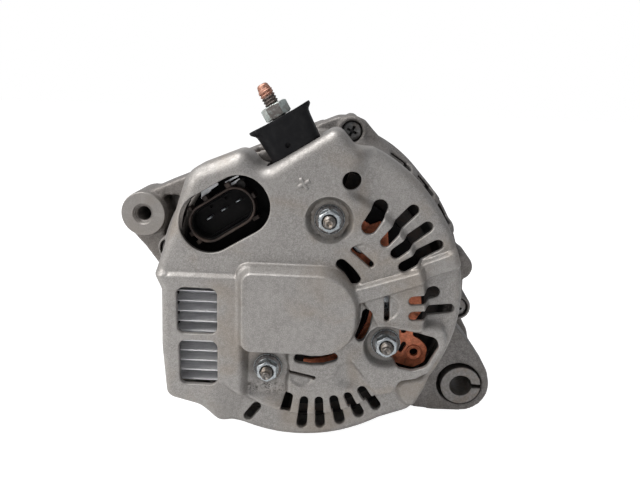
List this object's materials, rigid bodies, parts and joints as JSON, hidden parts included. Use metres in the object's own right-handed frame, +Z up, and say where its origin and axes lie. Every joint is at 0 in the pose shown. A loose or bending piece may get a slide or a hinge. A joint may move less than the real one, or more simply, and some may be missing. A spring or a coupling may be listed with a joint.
{
  "type": "car alternator",
  "caption": "Compact internally fanned car alternator with a cast cover over its rectifier and regulator, a pivot ear, an adjuster lug and a ribbed pulley.",
  "frame": {"origin": "on the shaft axis, in the middle plane of the stator core, which is also the centre of mass of the solids to within 1 mm", "axes": "+Y along the shaft from the rear cover to the pulley, +Z up with the output terminal at the top, +X to the side of the pivot ear"},
  "size_m": [0.1836, 0.1575, 0.1654],
  "materials": {
    "cover_casting": "satin blasted die casting",
    "housing_casting": "rough die casting",
    "zinc_plated": "bright zinc plated",
    "steel": "turned steel",
    "dark_fastener": "dark passivated",
    "lamination": "varnished laminated steel",
    "pole_iron": "forged and turned iron",
    "copper": "lacquered copper",
    "winding_copper": "enamelled copper wire",
    "terminal_copper": "copper flashed steel",
    "heat_sink": "extruded, plain",
    "black_plastic": "moulded, fine grain",
    "connector_plastic": "moulded, worn",
    "carbon": "graphite",
    "pulley_steel": "dark phosphated steel"
  },
  "bodies": {
    "housing": {"b_plus_insulator": "black_plastic", "b_plus_nut": "zinc_plated", "b_plus_stud": "terminal_copper", "bearing_retainer": "steel", "brush_holder": "black_plastic", "brush_spring_1": "steel", "brush_spring_2": "steel", "connector_pin_1": "zinc_plated", "connector_pin_2": "zinc_plated", "connector_pin_3": "zinc_plated", "cover_nut_1": "zinc_plated", "cover_nut_2": "zinc_plated", "cover_nut_3": "zinc_plated", "cover_stud_1": "steel", "cover_stud_2": "steel", "cover_stud_3": "steel", "diode_1": "dark_fastener", "diode_2": "dark_fastener", "diode_3": "dark_fastener", "diode_4": "dark_fastener", "diode_5": "dark_fastener", "diode_6": "dark_fastener", "front_bearing_outer": "steel", "front_housing": "housing_casting", "pivot_bush": "steel", "rear_bearing_outer": "steel", "rear_cover": "cover_casting", "rear_housing": "housing_casting", "rectifier_negative_plate": "heat_sink", "rectifier_positive_plate": "copper", "rectifier_terminal_block": "black_plastic", "regulator_body": "connector_plastic", "regulator_heat_sink": "heat_sink", "retainer_screw_1": "dark_fastener", "retainer_screw_2": "dark_fastener", "retainer_screw_3": "dark_fastener", "stator_core": "lamination", "stator_winding": "winding_copper", "through_bolt_1": "dark_fastener", "through_bolt_2": "dark_fastener", "through_bolt_3": "dark_fastener", "through_bolt_4": "dark_fastener"},
    "rotor": {"rotor_shaft": "steel", "front_claw_pole": "pole_iron", "rear_claw_pole": "pole_iron", "field_coil": "winding_copper", "coil_bobbin": "black_plastic", "front_fan": "steel", "rear_fan": "steel", "slip_ring_1": "copper", "slip_ring_2": "copper", "slip_ring_insulator": "black_plastic", "front_bearing_inner": "steel", "rear_bearing_inner": "steel", "pulley": "pulley_steel", "pulley_nut": "zinc_plated"},
    "front_cage": {"front_bearing_cage": "steel"},
    "rear_cage": {"rear_bearing_cage": "steel"},
    "brush_1_carrier": {"brush_1": "carbon"},
    "brush_2_carrier": {"brush_2": "carbon"}
  },
  "joints": [
    {"name": "rotor_spin", "type": "hinge", "parent": "housing", "child": "rotor", "pos_m": [0, 0, 0], "axis": [0, 1, 0], "continuous": true},
    {"name": "front_cage_spin", "type": "hinge", "parent": "housing", "child": "front_cage", "pos_m": [0, 0.0336, 0], "axis": [0, 1, 0], "continuous": true},
    {"name": "rear_cage_spin", "type": "hinge", "parent": "housing", "child": "rear_cage", "pos_m": [0, -0.0517, 0], "axis": [0, 1, 0], "continuous": true},
    {"name": "brush_1_slide", "type": "slide", "parent": "housing", "child": "brush_1_carrier", "axis": [-1, 0, 0], "range_m": [0, 0.003]},
    {"name": "brush_2_slide", "type": "slide", "parent": "housing", "child": "brush_2_carrier", "axis": [-1, 0, 0], "range_m": [0, 0.003]}
  ],
  "couplings": [
    {"joint": "front_cage_spin", "follows": "rotor_spin", "ratio": 0.401},
    {"joint": "rear_cage_spin", "follows": "rotor_spin", "ratio": 0.424}
  ]
}
